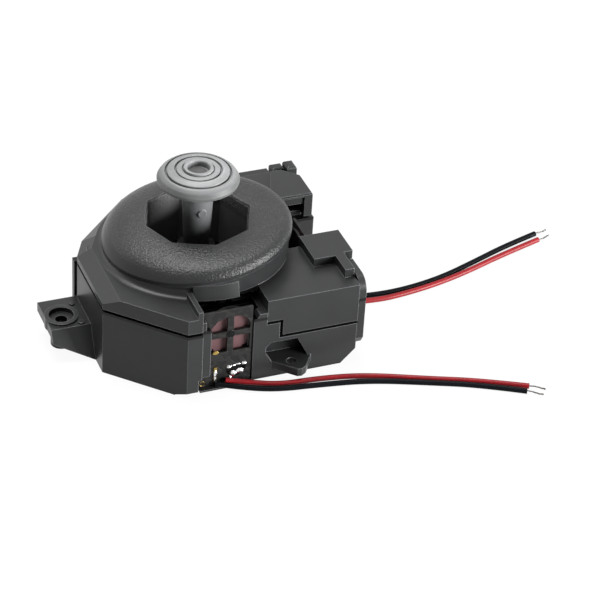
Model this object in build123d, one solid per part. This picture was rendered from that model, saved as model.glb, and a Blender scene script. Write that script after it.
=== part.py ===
from build123d import *
from math import acos, atan2, cos, degrees, pi, radians, sin, sqrt, tan
import os

# A two-axis analog stick module of a game controller, in millimetres.
# X runs right along the front face, Y to the back, Z up.
# The origin is on the flat underside, below the middle of the stick.
# The front sensor unit and the right sensor unit are the same design, a quarter turn apart.

# Driving dimensions of the case in plan
case_left = -23.4
case_front = -24.2
box_front = -23.2
box_right = 26.3
block_right = 28.7
case_back = 22.6
front_left_sum = 35.3
back_left_sum = 31.1
left_face_end = 5.2
left_corner_y = 10.2
strip_front = -25.1
strip_right = -7.1
wall = 1.6
floor = 1.2

# Heights
case_top = 14.75
parting_gap = 0.65
plate_top = 18.6
plate_thickness = 1.6
skirt_step_z = 13.6
skirt_z = 9.9
skirt_step_x = 10.3
block_top = 20.5

# Dome and gate
dome_wall_r = 18.6
lip_r = 19.25
lip_z = 21.3
lip_height = 0.9
lip_tilt = 7.0
lip_rise_angle = -23.2
dome_wall = 1.6
gate_r = 10.9
gate_top = 25.4
gate_depth = 12.9
gate_wall = 1.3
gate_edge = 0.25
skirt_fillet = 1.8
slope_run = 2.8
slope_drop = 1.9

# Sensor unit, given for the front one
hub_x = -0.65
hub_z = 12.2
pocket_left = -6.9
pocket_right = 6.9
window_left = -5.1
window_right = 4.1
board_y = -22.9
board_thickness = 0.5
board_top = 18.0
board_left = -6.6
board_right = 3.9
board_bottom = 0.4
foot_left = -7.7
foot_top = 3.6
wheel_y = -21.8
wheel_thickness = 0.5
wheel_r = 5.6
wheel_slot_r = 5.15
wheel_slot_length = 0.4
axle_r = 0.5
running_gap = 0.05
recess_y = -17.0
pillar_top = 15.8

# Gimbal
bearing_inner = 15.5
bearing_wall = 1.4
bearing_top = 14.4
trunnion_r = 1.4
foot_r = 2.7
foot_gap = 0.3
bowl_r = 4.3
inner_arch_r = 5.0
inner_arch_t = 1.1
arch_gap = 0.45
outer_arch_t = 1.1
arch_width = 7.0
arch_drop = 1.0
slot_gap = 0.3

# Gears
gear_module = 0.4
sector_teeth = 21
pinion_teeth = 9
sector_half_angle = 42.0
gear_thickness = 1.1
gear_y = -18.4
backlash = 0.12
pressure_angle = 20.0

# Stick
shaft_r = 2.2
shaft_shoulder_z = 18.3
shaft_shoulder_r = 2.57
shaft_top_r = 3.35
cap_r = 8.25
cap_rim_z = 34.3
cap_top_z = 36.9
pip_z = 27.7
pip_r = 0.9

# Spring
seat_r = 4.8
seat_thickness = 0.6
spring_wire_r = 0.22
spring_r = 3.3
spring_turns = 3.0
cup_r = 4.0
cup_thickness = 0.6

# Screw ears
ear_left = -31.6
ear_top = 6.7
ear_thickness = 2.0
ear_hole_x = -28.4
ear_hole_y = -0.3
ear_hole_r = 1.25
ear_boss_r = 3.4
ear_boss_height = 0.5
ear_counterbore_r = 2.55
ear_counterbore_depth = 1.1
nose_bottom = 2.0
nose_top = 3.8
nose_back = -20.0
nose_hole_x = 12.0
nose_hole_y = -24.2
nose_hole_r = 0.95

# Case screws
screw_r = 1.0
screw_head_r = 1.8
screw_head_h = 1.2
screw_length = 9.0
screw_head_z = 6.0
post_r = 2.7
post_top = 13.0
screw_places = [(-19.2, 5.0), (20.6, -18.4), (20.6, 18.4)]

# Wires
wire_r = 0.57
strand_r = 0.24

# Values that follow from the driving ones
cover_bottom = case_top + parting_gap
centre_distance = gear_module * (sector_teeth + pinion_teeth) / 2
pivot_z = hub_z - sqrt(centre_distance**2 - hub_x**2)
gear_lean = degrees(atan2(-hub_x, hub_z - pivot_z))
outer_arch_r = inner_arch_r + inner_arch_t + arch_gap
gate_apothem = gate_r * cos(pi / 8)
seat_z = pivot_z + outer_arch_r + outer_arch_t + 0.4


def block(x0, x1, y0, y1, z0, z1):
    return Pos((x0 + x1) / 2, (y0 + y1) / 2, (z0 + z1) / 2) * Box(x1 - x0, y1 - y0, z1 - z0)


def prism(points, z0, z1):
    return Pos(0, 0, z0) * extrude(Polygon(*points, align=None), amount=z1 - z0, dir=(0, 0, 1))


def front_prism(points, y0, y1):
    """Extrude an outline of (x, z) points from y0 back to y1."""
    outline = Plane.XZ.offset(-y0) * Polygon(*points, align=None)
    return extrude(outline, amount=y1 - y0, dir=(0, 1, 0))


def post(x, y, z0, z1, r):
    return Pos(x, y, (z0 + z1) / 2) * Cylinder(r, z1 - z0)


def rod_y(x, z, y0, y1, r):
    return Pos(x, (y0 + y1) / 2, z) * Rot(90, 0, 0) * Cylinder(r, y1 - y0)


def quarter_turn(part):
    """Place a piece of the front unit at the right unit."""
    return Rot(0, 0, 90) * part


# Outlines in plan
def case_outline():
    return [
        (case_left, -(front_left_sum + case_left)),
        (-(front_left_sum + strip_front), strip_front),
        (strip_right, strip_front),
        (strip_right, case_front),
        (window_right, case_front),
        (window_right, box_front),
        (box_right, box_front),
        (box_right, pocket_left - 0.3),
        (-case_front, pocket_left - 0.3),
        (-case_front, window_right),
        (-box_front, window_right),
        (-box_front, 7.6),
        (block_right, 7.6),
        (block_right, case_back),
        (-(back_left_sum - case_back), case_back),
        (left_corner_y - back_left_sum, left_corner_y),
        (case_left, left_face_end),
    ]


def cover_outline():
    return [
        (case_left, -(front_left_sum + case_left)),
        (-(front_left_sum + strip_front), strip_front),
        (strip_right, strip_front),
        (strip_right, box_front),
        (box_right, box_front),
        (box_right, 7.6),
        (block_right - 0.5, 7.6),
        (block_right - 0.5, 15.0),
        (block_right - 5.1, 19.6),
        (block_right - 5.1, case_back),
        (-(back_left_sum - case_back), case_back),
        (left_corner_y - back_left_sum, left_corner_y),
        (case_left, left_face_end),
    ]


def inset_prism(points, inset, z0, z1):
    face = offset(Polygon(*points, align=None), amount=-inset, kind=Kind.INTERSECTION)
    return Pos(0, 0, z0) * extrude(face, amount=z1 - z0)


# Lower housing
def pocket_cut():
    """Space in the case for the code wheel and the gear sector of the front unit."""
    inside = block(pocket_left, pocket_right - 1.1, board_y, -bearing_inner - bearing_wall, floor, 30)
    window = block(window_left, window_right, case_front - 1, board_y + board_thickness, board_bottom, 30)
    return inside + window


def board_slot():
    """Slot that holds the board of the front unit, open where the board shows."""
    back = board_y + board_thickness
    slot = block(board_left - 0.1, board_right + 0.1, board_y - 0.1, back + 0.1, board_bottom, 30)
    foot = block(foot_left - 0.1, window_left, case_front - 1, back + 0.1, board_bottom, foot_top + 0.1)
    return slot + foot


def pocket_walls():
    """Side walls, pillar and board ledge of the front unit."""
    left = block(pocket_left - 1.5, pocket_left, case_front + 0.1, -bearing_inner, 0, case_top)
    right = block(pocket_right - 1.1, pocket_right, box_front, -bearing_inner, 0, pillar_top)
    pillar = front_prism([(window_right + 0.2, 0), (window_right + 0.2, pillar_top - 2.0),
                          (window_right + 1.2, pillar_top), (pocket_right, pillar_top), (pocket_right, 0)],
                         box_front, -21.0)
    ledge = block(board_right - 0.6, window_right + 0.3, board_y + board_thickness, -21.0, floor,
                  pillar_top - 2.0)
    tab = block(pocket_left, pocket_left + 0.8, case_front + 0.1, board_y - 0.1, foot_top + 1, 16.8)
    return left + right + pillar + ledge + tab


def wheel_room():
    """Round space for the code wheel behind the board and its ledge."""
    front = board_y + board_thickness + 0.35
    return rod_y(hub_x, hub_z, front, -bearing_inner - bearing_wall, wheel_r + 0.3)


def left_ear():
    """Raised plate with a ring for the screw head and a web below its front edge."""
    plate = block(ear_left, case_left + wall, -4.3, 5.8, ear_top - ear_thickness, ear_top)
    ring = post(ear_hole_x, ear_hole_y, ear_top - ear_thickness, ear_top + ear_boss_height, ear_boss_r)
    web = front_prism([(ear_left, ear_top), (ear_left, ear_top - ear_thickness - 0.6), (case_left, 0),
                       (case_left + wall, 0), (case_left + wall, ear_top)], -7.6, -2.8)
    top_front = Plane.YZ.offset(ear_left - 1) * Polygon((-4.3, ear_top), (-7.6, 0), (-9, 0), (-9, ear_top + 1),
                                                        (-4.3, ear_top + 1), align=None)
    web -= extrude(top_front, amount=12, dir=(1, 0, 0))
    web -= front_prism([(ear_left - 1, ear_top - ear_thickness), (case_left - 1.5, ear_top - ear_thickness),
                        (case_left - 0.5, 1.5), (case_left - 0.5, -1), (ear_left - 1, -1)], -4.0, 0)
    return plate + ring + web


def front_ear():
    outline = Polygon((7.2, nose_back), (8.2, box_front), (12.3, -27.2), (13.2, -27.3), (14.3, -26.6),
                      (16.6, box_front), (16.6, nose_back), align=None)
    return Pos(0, 0, nose_bottom) * extrude(outline, amount=nose_top - nose_bottom)


def ear_holes():
    ring_top = ear_top + ear_boss_height
    sink = post(ear_hole_x, ear_hole_y, ring_top - ear_counterbore_depth, ring_top + 1, ear_counterbore_r)
    through = post(ear_hole_x, ear_hole_y, -1, ring_top + 1, ear_hole_r)
    return sink + through + post(nose_hole_x, nose_hole_y, nose_bottom - 1, nose_top + 1, nose_hole_r)


def front_ear_recess():
    """Room above the front ear for a screw head, with slanting sides."""
    return front_prism([(pocket_right, 5.9), (8.2, nose_top), (15.9, nose_top), (13.5, 8.4), (8.0, 8.4),
                        (pocket_right, 7.4)], box_front - 1, nose_back)


def side_rib():
    """Upright rib on the left, behind a narrow groove."""
    return block(case_left - 0.2, -21.5, 6.5, 7.9, 0, case_top)


def lug(x0, x1, y0, y1, top):
    """Upright lug with a rounded top."""
    solid = block(x0, x1, y0, y1, 0, top)
    return fillet(solid.edges().group_by(Axis.Z)[-1], 0.7)


def lower_housing():
    body = prism(case_outline(), 0, case_top)
    body -= inset_prism(case_outline(), wall, floor, case_top + 1)
    body += side_rib()
    tongue = inset_prism(case_outline(), wall - 0.2, case_top - 2, case_top)
    tongue += inset_prism(cover_outline(), wall + 0.1, case_top, case_top + 1.2)
    tongue -= inset_prism(cover_outline(), wall + 1.1, case_top - 3, case_top + 2)
    for turn in (0, 90):
        tongue -= Rot(0, 0, turn) * block(pocket_left - 2.1, 7.7 + wall, case_front - 5, -15,
                                          case_top, case_top + 2)
    body += tongue
    # Front right: the wall stands lower where the cover's skirt comes down over it
    body -= block(pocket_right, box_right + 1, box_front - 1, box_front + wall + 0.05, skirt_z - parting_gap, 30)
    body += block(pocket_right, skirt_step_x - parting_gap, box_front, box_front + wall, 0,
                  skirt_step_z - parting_gap)
    body += block(pocket_right, box_right - 0.2, box_front + wall + 0.1, box_front + wall + 1.3, 0, case_top)
    # Square of bearing walls round the gimbal
    outer = bearing_inner + bearing_wall
    square = block(-outer, outer, -outer, outer, 0, bearing_top) & prism(case_outline(), 0, case_top)
    body += square - block(-bearing_inner, bearing_inner, -bearing_inner, bearing_inner, floor, 30)
    # Pockets for the two sensor units
    body -= pocket_cut() + quarter_turn(pocket_cut())
    body += pocket_walls() + quarter_turn(pocket_walls())
    body -= wheel_room() + quarter_turn(wheel_room())
    body -= board_slot() + quarter_turn(board_slot())
    # Screw posts, ears and guide knuckles
    for x, y in screw_places:
        body += post(x, y, 0, post_top, post_r)
        body -= post(x, y, post_top, 30, post_r - 0.35)
    body -= front_ear_recess()
    body += block(pocket_right, 17.6, nose_back, nose_back + 1.1, 0, case_top)
    body += left_ear() + front_ear()
    body += lug(23.9, 26.6, 19.8, 22.2, 19.9) + lug(26.4, 28.6, 17.8, 20.8, 21.1)
    for x, y in screw_places:
        body -= post(x, y, -1, screw_head_z, screw_head_r + 0.25)
        body -= post(x, y, -1, 30, screw_r + 0.15)
    body -= ear_holes()
    # Bearings of the rockers and of the wheel axles
    for turn in (0, 90, 180, 270):
        body -= Rot(0, 0, turn) * rod_y(0, pivot_z, -outer - 1, -bearing_inner + 1, trunnion_r + running_gap)
    axle_bore = rod_y(hub_x, hub_z, -outer - 1, -bearing_inner + 1, axle_r + 0.02)
    body -= axle_bore + quarter_turn(axle_bore)
    # The underside slopes up at the front right corner and below the strip at the front left
    body -= front_prism([(23.2, -1), (23.2, 0), (28.2, 5.0), (31, 5.0), (31, -1)], -30, -7)
    bevel = Plane.YZ.offset(-12) * Polygon((-23.0, 0), (-25.2, 1.1), (-27, 1.1), (-27, -1), (-23.0, -1),
                                           align=None)
    body -= extrude(bevel, amount=12 + strip_right, dir=(1, 0, 0))
    return body


# Upper cover
def rim_plane(z, share):
    """Plane through the stick's axis, leaning by a share of the lip's tilt."""
    lean = radians(lip_tilt * share)
    rise = radians(lip_rise_angle)
    normal = (-sin(lean) * cos(rise), -sin(lean) * sin(rise), cos(lean))
    return Plane(origin=(0, 0, z), x_dir=(cos(rise) * cos(lean), sin(rise) * cos(lean), sin(lean)),
                 z_dir=normal)


def dome_solid(inset):
    """Rounded top of the dome above its lip, drawn in by an inset for the hollow."""
    rings = [
        (lip_r, lip_z + lip_height, 1.0),
        (lip_r - 0.9, lip_z + 2.5, 0.85),
        (lip_r - 3.6, lip_z + 3.75, 0.5),
        (lip_r - 6.6, lip_z + 4.2, 0.2),
        (lip_r - 9.4, gate_top, 0.0),
    ]
    faces = [rim_plane(z - inset, share) * Circle(r - 1.2 * inset) for r, z, share in rings]
    return loft(faces)


def dome_hollow():
    """Round space under the dome."""
    outline = Polygon((0, cover_bottom - 1), (16.4, cover_bottom - 1), (16.4, 19.0), (13.5, 21.8), (11.5, 23.3),
                      (0, 23.3), align=None)
    return revolve(Plane.XZ * outline, axis=Axis.Z)


def front_pad():
    """Slightly conical pad on the front of the dome's wall, above the open board."""
    cone = Pos(0, 0, 19.7) * Cone(19.5, 18.75, 3.0)
    return cone & block(-6.8, 2.3, -25, -14, 18.2, 21.2)


def below_rim(r, z_top, z_bottom):
    """Upright cylinder that ends in a leaning plane at the top."""
    column = post(0, 0, z_bottom, z_top + 6, r)
    return column - rim_plane(z_top, 1.0) * Pos(0, 0, 10) * Box(60, 60, 20)


def skirt_ring():
    """Hollow fillet where the dome's wall meets the plate."""
    corner = (dome_wall_r + skirt_fillet, plate_top + skirt_fillet)
    with BuildPart() as ring:
        with BuildSketch(Plane.XZ):
            with BuildLine():
                Line((dome_wall_r - 0.5, plate_top - 0.5), (corner[0], plate_top - 0.5))
                Line((corner[0], plate_top - 0.5), (corner[0], plate_top))
                RadiusArc((corner[0], plate_top), (dome_wall_r, corner[1]), skirt_fillet)
                Line((dome_wall_r, corner[1]), (dome_wall_r - 0.5, corner[1]))
                Line((dome_wall_r - 0.5, corner[1]), (dome_wall_r - 0.5, plate_top - 0.5))
            make_face()
        revolve(axis=Axis.Z)
    return ring.part


def gate(z0, z1, grow=0.0):
    return Pos(0, 0, z0) * extrude(RegularPolygon(gate_r + grow, 8), amount=z1 - z0)


def edge_slopes():
    """Wedges that come off the plate along its left and back left edges."""
    inner = case_left + slope_run
    plain = front_prism([(inner, plate_top), (case_left, plate_top - slope_drop),
                         (case_left - 9, plate_top - slope_drop), (case_left - 9, plate_top + 1),
                         (inner, plate_top + 1)], -30, 30)
    wedge = plain
    run = left_corner_y - left_face_end
    width = left_corner_y - back_left_sum - case_left
    corner_angle = degrees(atan2(width, run))
    corner_reach = (-case_left * run + left_face_end * width) / sqrt(run**2 + width**2)
    for angle, reach in ((45, back_left_sum / sqrt(2)), (corner_angle, corner_reach)):
        wedge += Rot(0, 0, -angle) * Pos(-reach - case_left, 0, 0) * plain
    return wedge


def l_block():
    main = block(19.75, 28.3, -14.7, -6.2, plate_top - 0.1, block_top)
    leg = block(24.3, box_right, -20.0, -14.5, plate_top - 0.5, block_top)
    return main + leg - block(26.4, 29, -15, -14.0, 18, 21)


def back_block():
    solid = prism([(4.0, 7.6), (block_right - 0.5, 7.6), (block_right - 0.5, 15.0),
                   (block_right - 5.1, 19.6), (4.0, 19.6)], plate_top - 0.5, block_top)
    return chamfer(solid.edges().filter_by(Axis.X).group_by(Axis.Z)[-1].sort_by(Axis.Y)[-1], 1.4)


def upper_cover():
    body = prism(cover_outline(), cover_bottom, plate_top)
    body -= edge_slopes()
    body += below_rim(dome_wall_r, lip_z + 0.3, plate_top - 1)
    body += skirt_ring() & block(-30, pocket_left, -30, 30, plate_top - 1, 30)
    lip = loft([rim_plane(z, 1.0) * Circle(lip_r) for z in (lip_z, lip_z + lip_height)], ruled=True)
    body += lip + dome_solid(0)
    body += l_block() + back_block()
    # Hollow under the plate and the dome
    hollow = inset_prism(cover_outline(), wall, cover_bottom - 1, plate_top - plate_thickness)
    body -= hollow + dome_hollow()
    body += gate(gate_top - gate_depth, gate_top - 0.8, gate_wall)
    # Skirt of the box at the front right
    body += block(pocket_right, box_right, box_front, box_front + wall, skirt_z, cover_bottom + 1)
    body -= block(pocket_right - 1, skirt_step_x, box_front - 1, box_front + wall + 1, skirt_z - 1, skirt_step_z)
    # Open pockets above the two sensor units
    body -= block(pocket_left - 0.3, pocket_right, strip_front - 1, recess_y, cover_bottom - 1, plate_top)
    body -= block(-recess_y, block_right + 1, pocket_left - 0.1, 7.6, cover_bottom - 1, plate_top)
    body += block(pocket_right, pocket_right + wall, box_front, recess_y, cover_bottom, plate_top)
    body += block(pocket_left - 0.3 - wall, pocket_left - 0.3, strip_front, recess_y, cover_bottom, plate_top)
    body += block(-recess_y, box_right, pocket_left - 0.1 - wall, pocket_left - 0.1, cover_bottom, plate_top)
    body += block(-recess_y, block_right - 0.5, 7.6, 7.6 + wall, cover_bottom, plate_top)
    body += block(pocket_left - 1.3, pocket_left - 0.3, strip_front, -18.0, plate_top - 1, 20.2)
    body += front_pad()
    # Side opening under the back block
    body -= block(20.6, 26.4, 7.0, 12.0, cover_bottom - 1, 18.3)
    body -= block(20.6, 26.4, 7.0, 8.1, 18.2, 20.1)
    # Screw posts
    for x, y in screw_places:
        body += post(x, y, post_top, plate_top - 0.5, post_r - 0.5)
        body -= post(x, y, post_top - 1, post_top + 4, screw_r + 0.02)
    body -= gate(gate_top - gate_depth - 1, gate_top + 3)
    edge = extrude(RegularPolygon(gate_r, 8), amount=gate_edge + 1, taper=-40)
    return body - Pos(0, 0, gate_top - gate_edge) * edge


def end_plate():
    """Thin rounded plate on the right end of the box."""
    x0 = box_right + 0.25
    x1 = 28.0
    front = -22.8
    back = pocket_left - 0.3
    shape = Plane.YZ.offset(x0) * Polygon((front, 5.2), (front + 1.0, 3.6), (back, 3.6), (back, 18.4),
                                          (-15.0, 18.4), (-15.0, 19.2), (front, 19.2), align=None)
    solid = extrude(shape, amount=x1 - x0)
    corner = solid.edges().filter_by(Axis.X).group_by(Axis.Z)[-1].sort_by(Axis.Y)[0]
    return fillet(corner, 3.0) + block(box_right + 0.05, x0, front + 1.2, back - 1.2, 5.5, 17.0)


# Stick and spring
def thumb_stick():
    rings = [
        (0, pivot_z + 1), (shaft_r, pivot_z + 1), (shaft_r, shaft_shoulder_z),
        (shaft_shoulder_r, shaft_shoulder_z), (shaft_top_r, cap_rim_z - 0.4), (6.6, cap_rim_z - 0.1),
        (7.6, cap_rim_z - 0.5), (cap_r - 0.15, cap_rim_z - 0.5), (cap_r, cap_rim_z - 0.2),
        (cap_r, cap_rim_z + 0.2), (7.75, 35.3), (7.1, 35.85), (6.7, 35.95), (6.6, 35.5), (6.3, 35.5),
        (6.2, 36.1), (5.2, 36.35), (4.95, 36.5), (4.8, 36.5), (4.7, 36.0), (4.4, 36.0), (4.3, 36.45),
        (3.3, 36.55), (3.2, 36.25), (3.05, 36.25), (2.95, cap_top_z), (2.4, cap_top_z), (2.25, 36.6),
        (2.2, 35.6), (0, 35.4),
    ]
    turned = revolve(Plane.XZ * Polygon(*rings, align=None), axis=Axis.Z)
    return turned + Pos(0, 0, pivot_z) * Sphere(foot_r) + rod_y(0, pip_z, -3.2, -2.5, pip_r)


def spring_seat():
    return post(0, 0, seat_z, seat_z + seat_thickness, seat_r) - post(0, 0, 0, 30, shaft_r + 0.1)


def spring_cup():
    top = shaft_shoulder_z
    return post(0, 0, top - cup_thickness, top, cup_r) - post(0, 0, 0, 30, shaft_r + 0.02)


def return_spring():
    low = seat_z + seat_thickness + spring_wire_r + 0.03
    high = shaft_shoulder_z - cup_thickness - spring_wire_r - 0.03
    path = Pos(0, 0, low) * Helix(pitch=(high - low) / spring_turns, height=high - low, radius=spring_r)
    section = Plane(origin=path @ 0, z_dir=path % 0) * RegularPolygon(spring_wire_r, 6)
    return sweep(section, path=path, is_frenet=True)


def bowl():
    top = pivot_z - 1.6
    return post(0, 0, floor, top, bowl_r) - Pos(0, 0, pivot_z) * Sphere(foot_r + foot_gap)


# Gears
def involute(angle):
    return tan(angle) - angle


def gear_outline(teeth, first, last, close_r):
    """Points of gear teeth numbered first to last, tooth 0 pointing along +Y of the sketch."""
    pitch_r = gear_module * teeth / 2
    base_r = pitch_r * cos(radians(pressure_angle))
    tip_r = pitch_r + 0.75 * gear_module
    root_r = pitch_r - 1.15 * gear_module
    half = pi / (2 * teeth) - backlash / (4 * pitch_r)
    start = involute(radians(pressure_angle))

    def half_angle(r):
        return half + start - involute(acos(min(1.0, base_r / r)))

    flank = [(root_r, half_angle(base_r)), (max(base_r, root_r), half_angle(base_r)),
             (pitch_r, half), (tip_r, half_angle(tip_r))]
    points = []
    for number in range(first, last + 1):
        middle = pi / 2 - 2 * pi * number / teeth
        points += [(r * cos(middle + a), r * sin(middle + a)) for r, a in flank]
        points += [(r * cos(middle - a), r * sin(middle - a)) for r, a in reversed(flank)]
    if close_r:
        points += [(close_r * 0.9, -close_r * 0.3), (0, -close_r), (-close_r * 0.9, -close_r * 0.3)]
    return points


def gear_sector():
    """Toothed sector of a rocker, in the plane of the front unit's gears."""
    reach = int(sector_half_angle / (360 / sector_teeth))
    outline = gear_outline(sector_teeth, -reach, reach, trunnion_r + 0.6)
    solid = front_prism(outline, gear_y, gear_y + gear_thickness)
    return Pos(0, 0, pivot_z) * Rot(0, -gear_lean, 0) * solid


def code_wheel():
    """Disc with a ring of slots, and its pinion, on one hub."""
    pinion = front_prism(gear_outline(pinion_teeth, 0, pinion_teeth - 1, 0), gear_y - 0.1,
                         gear_y + gear_thickness + 0.1)
    disc = rod_y(0, 0, wheel_y, wheel_y + wheel_thickness, wheel_r)
    hub = rod_y(0, 0, wheel_y, gear_y, 1.15)
    slot = block(-0.2, 0.2, wheel_y - 1, wheel_y + 1, wheel_slot_r - wheel_slot_length / 2,
                 wheel_slot_r + wheel_slot_length / 2)
    slots = [Rot(0, angle, 0) * slot for angle in range(0, 360, 15)]
    wheel = disc + hub + pinion
    for slot in slots:
        wheel -= slot
    wheel -= rod_y(0, 0, -30, 0, axle_r + running_gap)
    return Pos(hub_x, 0, hub_z) * Rot(0, -gear_lean, 0) * wheel


def wheel_axle():
    return rod_y(hub_x, hub_z, board_y + 0.3, -bearing_inner, axle_r)


# Rockers
def arch(r, thickness, slot_half_length, drop):
    """Slotted arch along Y, part of a ball shell round the pivot, with bearing pins at both ends."""
    shell = Sphere(r + thickness) - Sphere(r)
    band = shell & block(-arch_width / 2, arch_width / 2, -20, 20, -drop, 20)
    slot = block(-shaft_r - slot_gap, shaft_r + slot_gap, -slot_half_length, slot_half_length, 0, 20)
    middle = r + thickness / 2
    ends = [(-bearing_inner - bearing_wall - 0.2, -middle), (middle, bearing_inner + bearing_wall - 0.1)]
    pins = rod_y(0, 0, ends[0][0], ends[0][1], trunnion_r) + rod_y(0, 0, ends[1][0], ends[1][1], trunnion_r)
    return Pos(0, 0, pivot_z) * (band - slot + pins)


def rocker(r, thickness, slot_half_length):
    pin_to_sector = rod_y(0, pivot_z, gear_y, -bearing_inner - bearing_wall, trunnion_r)
    return arch(r, thickness, slot_half_length, arch_drop) + pin_to_sector + gear_sector()


# Sensor boards
def sensor_board():
    back = board_y + board_thickness
    body = block(board_left, board_right, board_y, back, board_bottom, board_top)
    body += block(foot_left, board_left, board_y, back, board_bottom, foot_top)
    opening = front_prism([(-4.85, 8.0), (3.45, 8.0), (3.45, 14.2), (2.6, 15.6), (1.2, 16.3), (-1.6, 16.3),
                           (-3.4, 15.6), (-4.85, 13.9)], board_y - 1, back + 1)
    bars = block(hub_x - 0.65, hub_x + 0.65, board_y, back, 7, 17)
    bars += block(-5, 4, board_y, back, hub_z - 0.6, hub_z + 0.6)
    bars += rod_y(hub_x, hub_z, board_y, back, 1.0)
    body = body - opening + (bars & opening)
    return body - rod_y(hub_x, hub_z, board_y - 1, back + 1, axle_r + 0.02)


def contacts():
    """Contact pins and a plated ring of the front board."""
    pin = block(-4.1, -3.5, board_y - 0.3, board_y, 1.0, 4.5)
    short = block(-4.4, -3.2, board_y - 0.2, board_y, 7.2, 7.9)
    bar = block(-0.4, 1.8, board_y - 0.2, board_y, 4.1, 4.5)
    ring = rod_y(-6.3, 1.3, board_y - 0.15, board_y, 0.5) - rod_y(-6.3, 1.3, board_y - 1, board_y, 0.2)
    return pin + short + bar + ring


def solder():
    """Solder joints of the front board, as low blunt cones."""
    places = [(-1.3, 4.4, 0.5), (2.5, 4.4, 0.55), (1.7, 2.9, 0.6), (0.1, 2.5, 0.45), (-1.2, 2.7, 0.4)]
    drops = [Pos(x, board_y - 0.2, z) * Rot(90, 0, 0) * Cone(r, 0.5 * r, 0.4) for x, z, r in places]
    return Part() + drops


def emitter():
    """Light source behind the code wheel, fixed to the bearing wall."""
    x = hub_x - wheel_slot_r
    body = block(x - 0.8, x + 0.8, -20.5, -bearing_inner - bearing_wall, hub_z - 1.3, hub_z + 1.3)
    return body + rod_y(x, hub_z, -20.9, -20.5, 0.5)


def detector():
    """Light sensor on the back of the board."""
    back = board_y + board_thickness
    x = hub_x - wheel_slot_r
    return block(x - 0.7, x + 0.7, back, back + 0.3, hub_z - 1.3, hub_z + 1.3)


def case_screws():
    z0 = screw_head_z - screw_head_h
    screw = post(0, 0, z0, screw_head_z, screw_head_r) + post(0, 0, screw_head_z, z0 + screw_length, screw_r)
    screw -= post(0, 0, z0 - 1, z0 + 0.6, 0.75)
    return Part() + [Pos(x, y, 0) * screw for x, y in screw_places]


# Wires, as straight runs joined by tangent arcs
front_red_route = [(-1.6, -23.55, 1.5), (2.6, -24.6, 0.85), (8.7, -27.0, 0.62), (16.6, -27.4, 0.6),
                   (26.0, -29.1, 0.6), (38.2, -34.2, 0.6), (47.5, -37.8, 0.6), (56.3, -42.4, 0.6)]
front_black_route = [(-3.7, -23.55, 1.1), (1.0, -25.8, 0.75), (7.6, -28.3, 0.6), (16.3, -29.4, 0.6),
                     (26.4, -31.1, 0.6), (38.4, -35.7, 0.6), (46.9, -39.1, 0.6), (55.2, -43.8, 0.6)]
rear_black_route = [(23.6, -1.9, 1.2), (29.4, -2.3, 0.7), (37.0, -3.8, 0.6), (44.8, -4.0, 0.6),
                    (54.5, -2.3, 0.6), (64.3, 1.3, 0.6), (73.2, 4.8, 0.6), (81.3, 7.2, 0.6)]
rear_red_route = [(23.6, -3.7, 1.2), (29.2, -4.4, 0.7), (38.8, -5.9, 0.6), (45.5, -5.3, 0.6),
                  (53.0, -4.0, 0.6), (61.0, -1.75, 0.6), (70.6, 1.75, 0.6), (81.0, 4.9, 0.6)]
strand_length = 3.6


def bend_radii(points):
    radii = []
    for before, here, after in zip(points, points[1:], points[2:]):
        a = Vector(*here) - Vector(*before)
        b = Vector(*after) - Vector(*here)
        turn = radians(a.get_angle(b))
        radii.append(0.45 * min(a.length, b.length) / tan(turn / 2))
    return radii


def wire(route):
    radii = bend_radii(route)
    path = FilletPolyline(*route, radius=radii)
    section = Plane(origin=path @ 0, z_dir=path % 0) * Circle(wire_r)
    solid = sweep(section, path=path)
    print("wire length", round(path.length, 2), "volume share",
          round(solid.volume / (pi * wire_r**2 * path.length), 4), "radii", [round(r, 1) for r in radii])
    return solid


def strand(route):
    """Bare tinned end that goes on straight from the insulation."""
    end = Vector(*route[-1])
    along = (end - Vector(*route[-2])).normalized()
    return extrude(Plane(origin=end, z_dir=along) * Circle(strand_r), amount=strand_length)


pieces = {
    "lower_housing": lower_housing(),
    "upper_cover": upper_cover(),
    "end_plate": end_plate(),
    "thumb_stick": thumb_stick(),
    "spring_seat": spring_seat(),
    "return_spring": return_spring(),
    "spring_cup": spring_cup(),
    "bowl": bowl(),
    "rocker_left_right": rocker(inner_arch_r, inner_arch_t, 4.3),
    "rocker_front_back": quarter_turn(rocker(outer_arch_r, outer_arch_t, 5.0)),
    "case_screws": case_screws(),
}

for name, make in (("sensor_board", sensor_board), ("code_wheel", code_wheel), ("wheel_axle", wheel_axle),
                   ("emitter", emitter), ("detector", detector), ("contacts", contacts), ("solder", solder)):
    pieces[name + "_front"] = make()
    pieces[name + "_right"] = quarter_turn(make())

for name, route in (("front_red", front_red_route), ("front_black", front_black_route),
                    ("rear_red", rear_red_route), ("rear_black", rear_black_route)):
    pieces[name + "_wire"] = wire(route)
    pieces[name + "_strand"] = strand(route)

os.makedirs("parts", exist_ok=True)
for name, solid in pieces.items():
    solid.label = name
    export_step(solid, f"parts/{name}.step")
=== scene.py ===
# %% [markdown]
# # A two-axis analog stick module
# The module is a small dark plastic case with a round dome on top. A grey thumb stick stands in the
# dome's eight-sided gate. An open board shows on the front, and two pairs of wires lie on the table.
# The hard parts come from the CAD frame, so this lesson gives them their finish, adds the small
# details that the frame leaves out, and lays the wires.

# %% Load the frame
import math

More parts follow.
